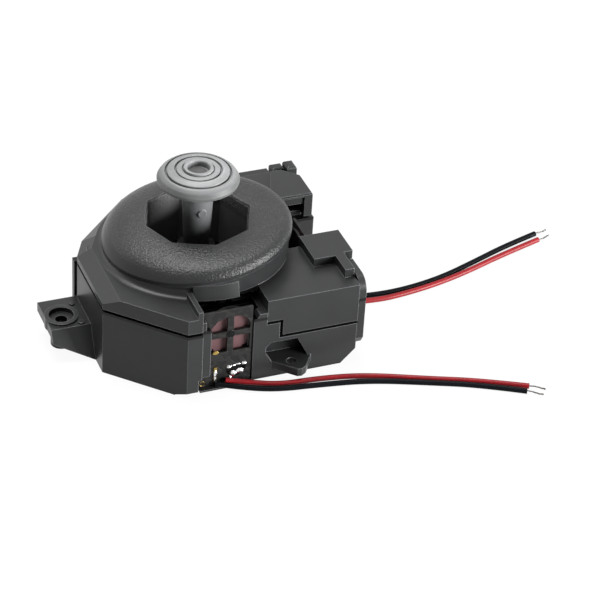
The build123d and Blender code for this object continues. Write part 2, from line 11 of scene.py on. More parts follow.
import bpy
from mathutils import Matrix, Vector


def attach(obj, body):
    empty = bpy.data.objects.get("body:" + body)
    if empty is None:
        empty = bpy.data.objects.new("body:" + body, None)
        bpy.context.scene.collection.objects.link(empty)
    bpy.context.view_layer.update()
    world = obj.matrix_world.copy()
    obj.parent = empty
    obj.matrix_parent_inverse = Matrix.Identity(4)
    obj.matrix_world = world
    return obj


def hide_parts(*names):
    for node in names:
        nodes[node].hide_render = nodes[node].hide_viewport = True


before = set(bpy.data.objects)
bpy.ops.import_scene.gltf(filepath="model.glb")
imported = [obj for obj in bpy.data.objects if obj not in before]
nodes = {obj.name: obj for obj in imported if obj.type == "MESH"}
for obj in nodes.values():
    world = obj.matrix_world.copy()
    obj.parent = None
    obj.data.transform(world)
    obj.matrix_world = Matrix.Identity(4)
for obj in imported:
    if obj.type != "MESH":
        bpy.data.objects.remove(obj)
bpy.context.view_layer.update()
MM = 0.001

# %% [markdown]
# ## The camera
# The photograph was taken with a long lens from the front left, about 35 degrees above the table.
# A camera object takes a place, a turn and a lens. A short lens close by would show the same pieces,
# but a long one keeps the upright edges almost parallel, as they are in the photograph.

# %% Place the camera
LENS = 148.0
CAMERA_AT = (-142.654, -386.832, 297.088)
CAMERA_TURN = (54.7174, -2.9204, -21.1814)

camera_data = bpy.data.cameras.new("studio_camera")
camera_data.lens = LENS
camera_data.sensor_width = 36.0
camera_data.clip_start = 0.01
camera_data.clip_end = 20.0
camera = bpy.data.objects.new("studio_camera", camera_data)
camera.location = Vector(CAMERA_AT) * MM
camera.rotation_euler = [math.radians(a) for a in CAMERA_TURN]
bpy.context.scene.collection.objects.link(camera)
bpy.context.scene.camera = camera
print("camera:", LENS, "mm lens at", [round(v) for v in CAMERA_AT], "mm")

# %% [markdown]
# ## Writing materials as sums
# A material is a board of nodes. Placing each node by hand is slow to read, so a small class wraps a
# socket: a sum or a product of two wrapped sockets adds the Math node that works it out. Every other
# node comes from one method, which takes the node's type, its settings and its inputs. Patterns read
# the Object coordinates, so they stay on a piece when it moves.

# %% A board of nodes
class Wire:
    """A value that comes out of a node."""

    def __init__(self, board, socket):
        self.board = board
        self.socket = socket

    def maths(self, operation, first, second):
        return self.board.node("ShaderNodeMath", {"operation": operation}, {0: first, 1: second})

    def __add__(self, other):
        return self.maths("ADD", self, other)

    def __radd__(self, other):
        return self.maths("ADD", other, self)

    def __sub__(self, other):
        return self.maths("SUBTRACT", self, other)

    def __rsub__(self, other):
        return self.maths("SUBTRACT", other, self)

    def __mul__(self, other):
        return self.maths("MULTIPLY", self, other)

    def __rmul__(self, other):
        return self.maths("MULTIPLY", other, self)

    def __gt__(self, other):
        return self.maths("GREATER_THAN", self, other)

    def __lt__(self, other):
        return self.maths("LESS_THAN", self, other)

    def __pow__(self, other):
        return self.maths("POWER", self, other)


class Board:
    """The nodes of one material, with its main shader."""

    def __init__(self, name):
        self.material = bpy.data.materials.new(name)
        self.material.use_nodes = True
        self.tree = self.material.node_tree
        self.shader = self.tree.nodes["Principled BSDF"]
        self.place = self.node("ShaderNodeTexCoord", {}, {}, "Object")

    def feed(self, socket, value):
        if isinstance(value, Wire):
            self.tree.links.new(value.socket, socket)
        else:
            socket.default_value = value

    def node(self, kind, settings, inputs, output=0):
        made = self.tree.nodes.new(kind)
        for name, value in settings.items():
            setattr(made, name, value)
        for name, value in inputs.items():
            self.feed(made.inputs[name], value)
        return Wire(self, made.outputs[output])

    def noise(self, size_mm, detail):
        """Soft random pattern whose spots are about that large."""
        inputs = {"Vector": self.place, "Scale": 1 / (size_mm * MM), "Detail": detail}
        return self.node("ShaderNodeTexNoise", {}, inputs)

    def mix(self, amount, first, second):
        """Colour between two colours."""
        return self.node("ShaderNodeMix", {"data_type": "RGBA"}, {0: amount, 6: first, 7: second}, 2)

    def ramp(self, value, low, high):
        """0 below low, 1 above high, even between them."""
        inputs = {"Value": value, "From Min": low, "From Max": high}
        return self.node("ShaderNodeMapRange", {"clamp": True}, inputs)

    def bump(self, height, depth_mm, strength=1.0, normal=None):
        """Normal of a surface that the height raises by that depth."""
        inputs = {"Strength": strength, "Distance": depth_mm * MM, "Height": height}
        if normal:
            inputs["Normal"] = normal
        return self.node("ShaderNodeBump", {}, inputs)

    def split(self, vector):
        """The vector's three parts."""
        made = self.node("ShaderNodeSeparateXYZ", {}, {0: vector})
        return [Wire(self, out) for out in made.socket.node.outputs]

    def finish(self, **inputs):
        """Feed the main shader, whose inputs are named with _ for a space."""
        for name, value in inputs.items():
            self.feed(self.shader.inputs[name.replace("_", " ")], value)
        return self.material


def off_axis(first, second):
    """Distance from an axis, from the two parts across it."""
    return (first * first + second * second) ** 0.5


def between(value, low_mm, high_mm):
    return (value > low_mm * MM) * (value < high_mm * MM)


def grey(level, tint=(1.0, 1.0, 1.0)):
    return (level * tint[0], level * tint[1], level * tint[2], 1.0)


def dress(material, *names):
    """Give CAD nodes one material all over."""
    for name in names:
        slots = nodes[name].data.materials
        slots.clear()
        slots.append(material)
    print(material.name, "on", ", ".join(names))


# %% [markdown]
# ## Moulded plastic
# The case is injection moulded in a dark plastic with a fine spark-eroded grain. Its edges are
# slightly rounded, and thin pale lines along them are painted highlights in the colour. Rounding every
# edge in the mesh would take very many faces, so both are made in the material. The grain is a fine
# noise that feeds a Bump node. The edges come from a Bevel node: where its softened normal leaves the
# true normal, the surface is close to an edge. Grooves and pockets get painted shade, found by Ambient
# Occlusion. The dome has a coarser grain than the case, and it starts above the cover's flat top.

# %% Define the plastic
EDGE_MM = 0.2
EDGE_TURN = (0.005, 0.12)
OPEN_SHARE = (0.12, 0.50)
GATE_REACH, GATE_FLOOR, GATE_TOP = 11.5, 11.0, 25.2
GRAIN_FADE = 1.2
CLOUD_MM, CLOUD_RANGE, CLOUD_DEPTH = 7.0, (0.35, 0.65), 0.88
ROUGH_DRIFT = 0.08
DEEP_SHADE = grey(0.002)
COOL = (0.97, 1.0, 1.03)


def edge_mask(board, width_mm):
    """The softened normal, and 1 near a sharp edge and 0 on a flat or gently curved face."""
    soft = board.node("ShaderNodeBevel", {"samples": 6}, {"Radius": width_mm * MM})
    true = board.node("ShaderNodeNewGeometry", {}, {}, "Normal")
    same = board.node("ShaderNodeVectorMath", {"operation": "DOT_PRODUCT"}, {0: soft, 1: true}, "Value")
    return soft, board.ramp(1 - same, *EDGE_TURN)


def open_mask(board, reach_mm=3.0):
    """0 deep in a groove or pocket and 1 on an open face."""
    clear = board.node("ShaderNodeAmbientOcclusion", {"samples": 6}, {"Distance": reach_mm * MM}, "AO")
    return board.ramp(clear, *OPEN_SHARE)


def gate_mask(board):
    """1 on the walls inside the gate."""
    x, y, z = board.split(board.place)
    return (off_axis(x, y) < GATE_REACH * MM) * between(z, GATE_FLOOR, GATE_TOP)


def moulded(name, colour, roughness, grain_mm, grain_depth_mm, edge_highlight_colour, edge_highlight_share=0.6, gloss=0.34,
            gate_painted_light=None, shade_band=None, grain_above=None):
    """Plastic with a grain, soft clouds of tone, painted edge highlights and painted shade in grooves."""
    board = Board(name)
    soft, edge = edge_mask(board, EDGE_MM)
    height = board.split(board.place)[2]
    grain = board.noise(grain_mm, 3.0)
    if grain_above:
        grain = grain * board.ramp(height, grain_above * MM, (grain_above + GRAIN_FADE) * MM)
    cloud = board.noise(CLOUD_MM, 3.0)
    deeper = tuple(CLOUD_DEPTH * c for c in colour[:3]) + (1.0,)
    base = board.mix(board.ramp(cloud, *CLOUD_RANGE), deeper, colour)
    # Painted light: the walls inside the gate are made paler.
    if gate_painted_light:
        base = board.mix(gate_mask(board), base, gate_painted_light)
    # Painted highlight: the edges are lightened towards the edge grey.
    base = board.mix(edge * edge_highlight_share, base, edge_highlight_colour)
    if shade_band:
        base = board.mix(between(height, *shade_band), base, DEEP_SHADE)
    # Painted shade: closed-in grooves and pockets are made near black.
    base = board.mix(open_mask(board), DEEP_SHADE, base)
    rough = roughness + (cloud - 0.5) * ROUGH_DRIFT - edge * ROUGH_DRIFT
    return board.finish(Base_Color=base, Roughness=rough, Specular_IOR_Level=gloss,
                        Normal=board.bump(grain, grain_depth_mm, normal=soft))


# %% [markdown]
# ## Case and cover
# The case has a fine even grain, and the strip right under the cover's edge lies in its shadow, so
# it is painted almost black as shade. The cover is the same plastic, with a coarse grain on the dome;
# the case's grey is set a touch paler than the cover's, as painted light. The walls inside the gate
# get painted light: they are made paler. One recipe with a few options makes both, so they look
# like one moulding.

# %% Finish the case
CASE_EDGE_HIGHLIGHT = grey(0.16, (0.97, 1.0, 1.04))
UNDER_COVER = (14.2, 14.85)
DOME_FROM = 22.0
# The case's grey is a touch paler than the cover's as painted light; both are one plastic.
case_plastic = moulded("case_plastic", grey(0.019, COOL), roughness=0.32, grain_mm=0.14,
                       grain_depth_mm=0.006, edge_highlight_colour=CASE_EDGE_HIGHLIGHT, edge_highlight_share=0.85, gloss=0.24,
                       shade_band=UNDER_COVER)
cover_plastic = moulded("cover_plastic", grey(0.017, COOL), roughness=0.32, grain_mm=0.42,
                        grain_depth_mm=0.19, edge_highlight_colour=CASE_EDGE_HIGHLIGHT, edge_highlight_share=0.85, gloss=0.28,
                        gate_painted_light=grey(0.12), grain_above=DOME_FROM)
dress(case_plastic, "lower_housing", "end_plate")
dress(cover_plastic, "upper_cover")

# %% [markdown]
# ## The thumb stick
# The stick is moulded in a lighter grey than the case. Its rings are part of the moulding, so the
# frame already has them. Its colour carries painted light and shade: the shaft darkens towards its
# foot in the gate, the cap's side is darker and its top paler, the ring edges get painted highlights,
# and the grooves and the centre dimple get painted shade. A painted image could show that, but masks
# by height, edge and groove need no image and fit from all sides.

# %% Finish the stick
CAP_TINT = (0.98, 1.0, 1.01)
SHAFT_FOOT = grey(0.018)
# Each step has its start and end up the stick, in mm, and the grey that it reaches.
STICK_GREYS = [(19.0, 29.0, grey(0.110, COOL)), (30.0, 33.0, grey(0.085, CAP_TINT)),
               (35.0, 36.4, grey(0.235, CAP_TINT))]
WORN_GREY, WORN_SHARE = grey(0.13), 0.25
RING_HIGHLIGHT_GREY, RING_HIGHLIGHT_SHARE = grey(0.36), 0.30
GROOVE_SHADE_GREY, GROOVE_REACH = grey(0.02), 1.2
DIMPLE_SHADE_GREY, DIMPLE_RADIUS = grey(0.07), 1.9


def stick_finish():
    board = Board("stick_plastic")
    soft, edge = edge_mask(board, 0.3)
    x, y, z = board.split(board.place)
    cloud = board.noise(3.0, 4.0)
    grain = board.noise(0.12, 3.0)
    # Painted light and shade by height: a dark foot, a darker cap side and a pale cap top.
    base = SHAFT_FOOT
    for low, high, colour in STICK_GREYS:
        base = board.mix(board.ramp(z, low * MM, high * MM), base, colour)
    base = board.mix(board.ramp(cloud, 0.4, 0.7) * WORN_SHARE, base, WORN_GREY)
    # Painted highlight on the ring edges.
    base = board.mix(edge * RING_HIGHLIGHT_SHARE, base, RING_HIGHLIGHT_GREY)
    # Painted shade in the grooves.
    base = board.mix(open_mask(board, GROOVE_REACH), GROOVE_SHADE_GREY, base)
    # Painted shade in the cap's centre dimple.
    base = board.mix(off_axis(x, y) < DIMPLE_RADIUS * MM, base, DIMPLE_SHADE_GREY)
    return board.finish(Base_Color=base, Roughness=0.42 + (cloud - 0.5) * 0.15, Specular_IOR_Level=0.3,
                        Normal=board.bump(grain, 0.020, normal=soft))


dress(stick_finish(), "thumb_stick")

# %% [markdown]
# ## The works inside the gate
# Under the gate lie black rockers, a spring and its cups. They are smooth and almost hidden, so the
# same plastic recipe with hardly any grain is enough. The discs behind the boards' windows are a
# dull dusky plastic all over. Their rim and back lie in shade inside the case, so they are painted
# black as shade, masked by the distance from the axle and by the depth.

# %% Finish the works
WHEEL_HUB = (-0.65, 12.2)
WHEEL_RIM = 5.15
RIM_FADE = 0.15
WHEEL_FACE = 21.74
DUSKY, DUSKY_PALE = (0.080, 0.040, 0.043, 1.0), (0.105, 0.055, 0.058, 1.0)
RIM_SHADE_BLACK, BACK_SHADE_BLACK = grey(0.004), grey(0.003)
acetal = moulded("black_acetal", grey(0.006), roughness=0.45, grain_mm=0.5, grain_depth_mm=0.004,
                 edge_highlight_colour=grey(0.03), edge_highlight_share=0.4, gloss=0.05)
dress(acetal, "spring_seat", "spring_cup", "bowl", "rocker_left_right", "rocker_front_back")


def wheel_finish(name, side):
    board = Board(name)
    x, y, z = board.split(board.place)
    along, outward = (x, y * -1.0) if side == "front" else (y, x)
    away = off_axis(along - WHEEL_HUB[0] * MM, z - WHEEL_HUB[1] * MM)
    cloud = board.noise(1.5, 3.0)
    base = board.mix(cloud, DUSKY, DUSKY_PALE)
    # Painted shade: the rim and the back of the disc are made black.
    base = board.mix(board.ramp(away, WHEEL_RIM * MM, (WHEEL_RIM + RIM_FADE) * MM), base, RIM_SHADE_BLACK)
    base = board.mix(outward > WHEEL_FACE * MM, BACK_SHADE_BLACK, base)
    return board.finish(Base_Color=base, Roughness=0.55 + (cloud - 0.5) * 0.1, Specular_IOR_Level=0.15)


for side in ("front", "right"):
    dress(wheel_finish("code_wheel_" + side + "_plastic", side), "code_wheel_" + side)
sensor_epoxy = moulded("sensor_epoxy", (0.012, 0.008, 0.012, 1.0), roughness=0.22, grain_mm=0.4,
                       grain_depth_mm=0.003, edge_highlight_colour=grey(0.10), edge_highlight_share=0.4)
dress(sensor_epoxy, "emitter_front", "emitter_right", "detector_front", "detector_right")
shade_black_resin = moulded("shade_black_resin", grey(0.0015), roughness=0.10, grain_mm=0.6, grain_depth_mm=0.01,
                     edge_highlight_colour=grey(0.01), gloss=0.15)

# %% [markdown]
# ## Metals
# The spring, axles, screws, contacts, solder and strands are small, so each metal is the same recipe
# with its own colour: a fine scratch pattern in the roughness and the bump, and a slight stain in
# the colour. Close-up wear would cost time here and not be seen.

# %% Finish the metals
STAIN_MM = 0.6
SCRATCH_MM, SCRATCH_DEPTH, SCRATCH_ROUGH = 0.08, 0.006, 0.15


def metal(name, colour, stain, roughness):
    board = Board(name)
    cloud = board.noise(STAIN_MM, 4.0)
    scratch = board.noise(SCRATCH_MM, 2.0)
    base = board.mix(board.ramp(cloud, 0.4, 0.7), colour, stain)
    return board.finish(Base_Color=base, Metallic=1.0, Roughness=roughness + scratch * SCRATCH_ROUGH,
                        Normal=board.bump(scratch, SCRATCH_DEPTH, strength=0.6))


spring_steel = metal("spring_steel", grey(0.16), grey(0.10), 0.30)
axle_steel = metal("axle_steel", grey(0.05), grey(0.03), 0.40)
screw_steel = metal("screw_steel", grey(0.55), grey(0.35), 0.34)
gold_plate = metal("gold_plate", (0.42, 0.30, 0.09, 1.0), (0.22, 0.16, 0.05, 1.0), 0.22)
solder_metal = metal("solder_metal", grey(0.90), grey(0.30), 0.14)
tinned_copper = metal("tinned_copper", (0.17, 0.165, 0.16, 1.0), (0.09, 0.085, 0.08, 1.0), 0.34)
dress(spring_steel, "return_spring")
dress(axle_steel, "wheel_axle_front", "wheel_axle_right")
dress(screw_steel, "case_screws")

# %% [markdown]
# ## The boards
# Each sensor board is a laminate under a dark satin solder mask, which lies a little higher over the
# copper tracks. A noise that is cut hard at its middle gives such patches, and it feeds the colour,
# the roughness and the bump alike, so that they agree.

# %% Finish the boards
MASK_COLOUR = (0.008, 0.0078, 0.0076, 1.0)
TRACK_COLOUR = (0.012, 0.0117, 0.0114, 1.0)
CUT_EDGE_COLOUR = (0.05, 0.042, 0.036, 1.0)
TRACK_MM, TRACK_CUT, TRACK_HEIGHT = 1.1, (0.49, 0.51), 0.03


def board_finish():
    board = Board("board_laminate")
    soft, edge = edge_mask(board, 0.12)
    tracks = board.ramp(board.noise(TRACK_MM, 0.0), *TRACK_CUT)
    base = board.mix(tracks, MASK_COLOUR, TRACK_COLOUR)
    base = board.mix(edge * 0.5, base, CUT_EDGE_COLOUR)
    return board.finish(Base_Color=base, Roughness=0.42 + tracks * 0.06, Specular_IOR_Level=0.2,
                        Normal=board.bump(tracks, TRACK_HEIGHT, strength=0.8, normal=soft))


dress(board_finish(), "sensor_board_front", "sensor_board_right")

# %% [markdown]
# ## Handling small pieces
# The small pieces on the boards are made with the tools that one uses by hand. A tool acts on all
# that is selected, so everything is deselected first. The unit on the right is the same design a
# quarter turn on, so one helper gives a place on either board. At the end, a piece's place goes into
# its mesh, so that its object stays at the origin, and the piece rides on the case.

# %% Helpers for new pieces
BOARD_FACE = 22.9


def drop_selection():
    for thing in bpy.context.selected_objects:
        thing.select_set(False)


def at_side(side, x, z):
    """A place on a board's face, for the front unit or the right one."""
    if side == "front":
        return (x * MM, -BOARD_FACE * MM, z * MM)
    return (BOARD_FACE * MM, x * MM, z * MM)


def facing(side):
    """Turn that lays an upright piece out from the board."""
    return (math.pi / 2, 0, 0) if side == "front" else (0, math.pi / 2, 0)


def at_scale(side, wide, deep, high):
    return (wide, deep, high) if side == "front" else (deep, wide, high)


def fix_place():
    bpy.ops.object.transform_apply(location=True, rotation=True, scale=True)


def join(parts):
    drop_selection()
    for part in parts:
        part.select_set(True)
    bpy.context.view_layer.objects.active = parts[0]
    bpy.ops.object.join()
    return bpy.context.object


def round_off(width_mm, segments):
    """Round all edges of the active piece."""
    bpy.ops.object.mode_set(mode="EDIT")
    bpy.ops.mesh.select_all(action="SELECT")
    bpy.ops.mesh.bevel(offset=width_mm * MM, segments=segments, affect="EDGES")
    bpy.ops.object.mode_set(mode="OBJECT")


def settle(piece, name, material):
    """Fix the place in the mesh, name and dress the piece, and let it ride."""
    drop_selection()
    piece.select_set(True)
    bpy.context.view_layer.objects.active = piece
    fix_place()
    piece.name = name
    piece.data.materials.clear()
    piece.data.materials.append(material)
    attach(piece, "housing")
    print(name, len(piece.data.polygons), "faces")
    return piece


# %% [markdown]
# ## Solder and the shade round it
# Solder is liquid when it is laid, so it ends as rounded, shiny beads that run into each other. The
# hollow round them lies in shade, so black glossy blobs are put there as painted shade. Sculpting them
# would be slow to repeat. Here each bead starts as a ball and is pressed flat on the board. A voxel
# remesh melts the beads into one skin, and a few rounds of smoothing take away its steps.

# %% Model the solder
SMOOTH_TIMES = 4
# Each row has x, z, half the width, half the height and the depth, in mm.
BEADS = [(-0.75, 4.25, 0.55, 0.42, 0.45), (0.15, 4.40, 0.55, 0.22, 0.28), (1.2, 4.55, 0.60, 0.20, 0.25),
         (2.45, 4.55, 0.62, 0.40, 0.45), (0.15, 2.45, 0.66, 0.85, 0.60), (1.55, 2.85, 0.95, 0.75, 0.55),
         (0.75, 2.45, 0.50, 0.40, 0.40), (-0.45, 1.45, 0.36, 0.80, 0.62), (-0.95, 1.35, 0.45, 0.32, 0.70)]
# Blobs of painted shade round the beads, in the same columns.
SHADE_BLOBS = [(0.0, 3.4, 1.3, 1.35, 0.20), (1.5, 3.6, 1.5, 1.2, 0.20), (0.8, 3.0, 1.5, 1.3, 0.22)]


def bead(side, x, z, wide, high, deep):
    drop_selection()
    bpy.ops.mesh.primitive_uv_sphere_add(segments=20, ring_count=12, radius=1 * MM,
                                         location=at_side(side, x, z))
    ball = bpy.context.object
    ball.scale = at_scale(side, wide, deep, high)
    fix_place()
    return ball


def melt(parts, voxel_mm):
    """Join the parts and melt them into one closed skin."""
    whole = join(parts)
    fix_place()
    skin = whole.modifiers.new("skin", "REMESH")
    skin.mode = "VOXEL"
    skin.voxel_size = voxel_mm * MM
    bpy.ops.object.modifier_apply(modifier=skin.name)
    ease = whole.modifiers.new("ease", "SMOOTH")
    ease.iterations = SMOOTH_TIMES
    bpy.ops.object.modifier_apply(modifier=ease.name)
    bpy.ops.object.shade_smooth()
    return whole


for side in ("front", "right"):
    solder = melt([bead(side, *shape) for shape in BEADS], 0.07)
    settle(solder, side + "_solder_beads", solder_metal)
    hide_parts("solder_" + side)
    # Painted shade: black blobs round the solder.
    shade_blobs = melt([bead(side, *shape) for shape in SHADE_BLOBS], 0.08)
    settle(shade_blobs, side + "_flux", shade_black_resin)

# %% [markdown]
# ## Pin, pad, ring and hub of the board
# The board carries a plated pin that the black wire is soldered to, a round test pad at the corner
# of a window and a thin ring round a small hole. The hub hole lies in shade, so a black disc is put in
# it as painted shade, with the end of the disc's axle in its middle. The pin starts as a cube that is
# stretched and bevelled, the flat round pieces as low cylinders with bevelled rims, and the ring as a
# torus, because it is round in section too.

# %% Model the contacts
def stud(side, x, z, wide, high, deep, round_mm):
    drop_selection()
    bpy.ops.mesh.primitive_cube_add(size=2 * MM, location=at_side(side, x, z))
    block = bpy.context.object
    block.scale = at_scale(side, wide, deep, high)
    fix_place()
    round_off(round_mm, 3)
    return block


def disc(side, x, z, radius, deep, squash=1.0):
    drop_selection()
    bpy.ops.mesh.primitive_cylinder_add(vertices=32, radius=radius * MM, depth=2 * deep * MM,
                                        location=at_side(side, x, z), rotation=facing(side))
    pad = bpy.context.object
    pad.scale = (1.0, squash, 1.0) if side == "front" else (squash, 1.0, 1.0)
    fix_place()
    round_off(0.04, 2)
    return pad


def ring(side, x, z, radius, thick):
    drop_selection()
    bpy.ops.mesh.primitive_torus_add(location=at_side(side, x, z), rotation=facing(side),
                                     major_radius=radius * MM, minor_radius=thick * MM,
                                     major_segments=32, minor_segments=10)
    bpy.ops.object.shade_smooth()
    return bpy.context.object


for side in ("front", "right"):
    contacts = join([disc(side, -3.60, 8.20, 0.66, 0.12, squash=0.6), ring(side, -6.25, 1.15, 0.52, 0.065),
                     stud(side, -3.60, 2.95, 0.34, 1.75, 0.24, 0.06)])
    settle(contacts, side + "_contact_metal", gold_plate)
    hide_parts("contacts_" + side)
    pin_beads = melt([bead(side, -3.60, 1.9, 0.36, 1.1, 0.42), bead(side, -3.58, 3.1, 0.46, 1.0, 0.44)], 0.06)
    settle(pin_beads, side + "_pin_solder", solder_metal)
    # Painted shade: a black disc fills the hub hole.
    settle(disc(side, *WHEEL_HUB, 0.85, 0.06), side + "_hub_hole_shade", shade_black_resin)
    settle(disc(side, -0.62, 12.15, 0.36, 0.10), side + "_axle_end", acetal)

# %% [markdown]
# ## The raised end of the back block
# The right end of the back block stands a little higher than the rest, with a slanting left edge. A
# stretched cube can't have that slant, so a flat face is moved to its corners, extruded upwards and
# bevelled at the rim.

# %% Model the raised end
BACK_END = [(18.9, 7.75), (28.05, 7.75), (28.05, 14.8), (25.0, 17.9), (22.5, 17.9)]
BACK_END_LOW, BACK_END_HIGH = 20.2, 20.85


def raised_plate(corners, low_mm, high_mm):
    drop_selection()
    bpy.ops.mesh.primitive_circle_add(vertices=len(corners), radius=1 * MM, fill_type="NGON")
    plate = bpy.context.object
    for vertex, (x, y) in zip(plate.data.vertices, corners):
        vertex.co = (x * MM, y * MM, low_mm * MM)
    bpy.ops.object.mode_set(mode="EDIT")
    bpy.ops.mesh.select_all(action="SELECT")
    bpy.ops.mesh.extrude_region_move(TRANSFORM_OT_translate={"value": (0, 0, (high_mm - low_mm) * MM)})
    bpy.ops.mesh.select_all(action="SELECT")
    bpy.ops.mesh.normals_make_consistent(inside=False)
    bpy.ops.object.mode_set(mode="OBJECT")
    round_off(0.08, 2)
    return plate


settle(raised_plate(BACK_END, BACK_END_LOW, BACK_END_HIGH), "back_block_end", cover_plastic)

# %% [markdown]
# ## The ear's pips and the shade tube under its hole
# Two low pips stand on the ear beside its ring, as witness marks of the mould. Each is a low
# cylinder with a soft rim. Under the ear's screw hole the table lies in shade, so a tube of case
# plastic is put below the hole as painted shade, and the hole looks deep and dark. It is a cylinder
# without ends, thickened by Solidify, which is simpler than cutting one cylinder from another.

# %% Model the ear's details
EAR_TOP = 7.0
PIP_TALL = 0.6
SLEEVE_AT = (-28.4, -0.3, 2.5)
SLEEVE_RADIUS, SLEEVE_TALL, SLEEVE_WALL = 1.27, 4.5, 0.9


def pip(x, y, radius):
    drop_selection()
    bpy.ops.mesh.primitive_cylinder_add(vertices=28, radius=radius * MM, depth=PIP_TALL * MM,
                                        location=(x * MM, y * MM, (EAR_TOP - PIP_TALL / 2) * MM))
    made = bpy.context.object
    fix_place()
    round_off(0.14, 3)
    return made


settle(pip(-25.1, -3.3, 0.75), "ear_pip_front", case_plastic)
settle(pip(-25.1, 3.2, 0.55), "ear_pip_back", case_plastic)
# Painted shade: a tube under the screw hole keeps it dark.
drop_selection()
bpy.ops.mesh.primitive_cylinder_add(vertices=40, radius=SLEEVE_RADIUS * MM, depth=SLEEVE_TALL * MM,
                                    end_fill_type="NOTHING", location=[v * MM for v in SLEEVE_AT])
sleeve = bpy.context.object
wall = sleeve.modifiers.new("wall", "SOLIDIFY")
wall.thickness = SLEEVE_WALL * MM
wall.offset = 1.0
bpy.ops.object.modifier_apply(modifier=wall.name)
settle(sleeve, "ear_hole_shade_tube", case_plastic)

# %% [markdown]
# ## The wires
# Four thin insulated wires leave the boards and lie loose on the table. A tube of straight runs and
# arcs would look like bent rod. A NURBS curve through the route's control points stays smooth all
# along, and a round bevel makes it a wire. The sleeve is soft vinyl with a satin sheen, faintly
# rippled and clouded.

# %% Lay the wires
WIRE_RADIUS = 0.57 * MM
ROUTES = {
    "front_red": [(-1.6, -23.55, 1.5), (2.6, -24.6, 0.85), (8.7, -27.0, 0.62), (16.6, -27.4, 0.6),
                  (26.0, -29.1, 0.6), (38.2, -34.2, 0.6), (47.5, -37.8, 0.6), (56.3, -42.4, 0.6)],
    "front_black": [(-3.7, -23.55, 1.1), (1.0, -25.8, 0.75), (7.6, -28.3, 0.6), (16.3, -29.4, 0.6),
                    (26.4, -31.1, 0.6), (38.4, -35.7, 0.6), (46.9, -39.1, 0.6), (55.2, -43.8, 0.6)],
    "rear_black": [(23.6, -1.9, 1.2), (29.4, -2.3, 0.7), (37.0, -3.8, 0.6), (44.8, -4.0, 0.6),
                   (54.5, -2.3, 0.6), (64.3, 1.3, 0.6), (73.2, 4.8, 0.6), (81.3, 7.2, 0.6)],
    "rear_red": [(23.6, -3.7, 1.2), (29.2, -4.4, 0.7), (38.8, -5.9, 0.6), (45.5, -5.3, 0.6),
                 (53.0, -4.0, 0.6), (61.0, -1.75, 0.6), (70.6, 1.75, 0.6), (81.0, 4.9, 0.6)],
}
WORN_PATCH_MM, RIPPLE_MM, RIPPLE_DEPTH = 2.0, 0.35, 0.01
BLUISH = (0.9, 1.0, 1.3)
BLACK_VINYL = (grey(0.003, BLUISH), grey(0.004, BLUISH), 0.30, 0.05)
# Each sleeve has its colour, the colour of its worn patches, its roughness and its gloss.
VINYL = {
    # The front red is set a little darker than the rear red as painted shade; both are one red wire.
    "front_red": ((0.18, 0.005, 0.008, 1.0), (0.14, 0.004, 0.006, 1.0), 0.30, 0.22),
    "front_black": BLACK_VINYL,
    "rear_black": BLACK_VINYL,
    "rear_red": ((0.19, 0.009, 0.012, 1.0), (0.15, 0.007, 0.009, 1.0), 0.34, 0.2),
}


def sleeve_finish(name, colour, worn, roughness, gloss):
    board = Board(name)
    cloud = board.noise(WORN_PATCH_MM, 3.0)
    ripple = board.noise(RIPPLE_MM, 2.0)
    base = board.mix(board.ramp(cloud, 0.35, 0.7), colour, worn)
    return board.finish(Base_Color=base, Roughness=roughness + cloud * 0.08, Specular_IOR_Level=gloss,
                        Normal=board.bump(ripple, RIPPLE_DEPTH, strength=0.5))


def lay_wire(name, points):
    data = bpy.data.curves.new(name + "_sleeve", "CURVE")
    data.dimensions = "3D"
    line = data.splines.new("NURBS")
    line.points.add(len(points) - 1)
    for control, place in zip(line.points, points):
        control.co = (place[0] * MM, place[1] * MM, place[2] * MM, 1.0)
    line.order_u = 3
    line.use_endpoint_u = True
    line.resolution_u = 16
    data.bevel_depth = WIRE_RADIUS
    data.bevel_resolution = 6
    data.use_fill_caps = True
    data.materials.append(sleeve_finish(name + "_sleeve", *VINYL[name]))
    wire = bpy.data.objects.new(name + "_sleeve", data)
    bpy.context.scene.collection.objects.link(wire)
    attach(wire, "housing")
    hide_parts(name + "_wire")
    name.split("_")[1] + "_insulation"
    return wire


def line_length(wire):
    """Length of the wire's own centre line."""
    plain = wire.data.copy()
    plain.bevel_depth = 0
    helper = bpy.data.objects.new("measure", plain)
    mesh = bpy.data.meshes.new_from_object(helper)
    corners = [v.co for v in mesh.vertices]
    bpy.data.objects.remove(helper)
    return sum((b - a).length for a, b in zip(corners, corners[1:]))


wires = {name: lay_wire(name, points) for name, points in ROUTES.items()}
print("wires:", ", ".join(wires))

# %% [markdown]
# ## The bare ends
# Each sleeve is stripped at its end, and a few fine tinned strands stick out, lightly twisted. One
# thin tube would look like a pin. Here three helixes run round the line that goes on from the
# sleeve, which sways a little. They are one curve object with a thin bevel, which is then made a
# mesh. Each starts a little way inside the sleeve, so no gap shows.

# %% Twist the strands
STRANDS, STEPS = 3, 23
BARE_LENGTH, TUCKED_IN = 3.6, 0.3
TWISTS = 1.3
SPREAD, FRAY = 0.075, 0.05
SWAY, SWAY_RATE = 0.18, 1.4
SAG = 0.05
LOWEST = 0.12
STRAND_RADIUS = 0.085


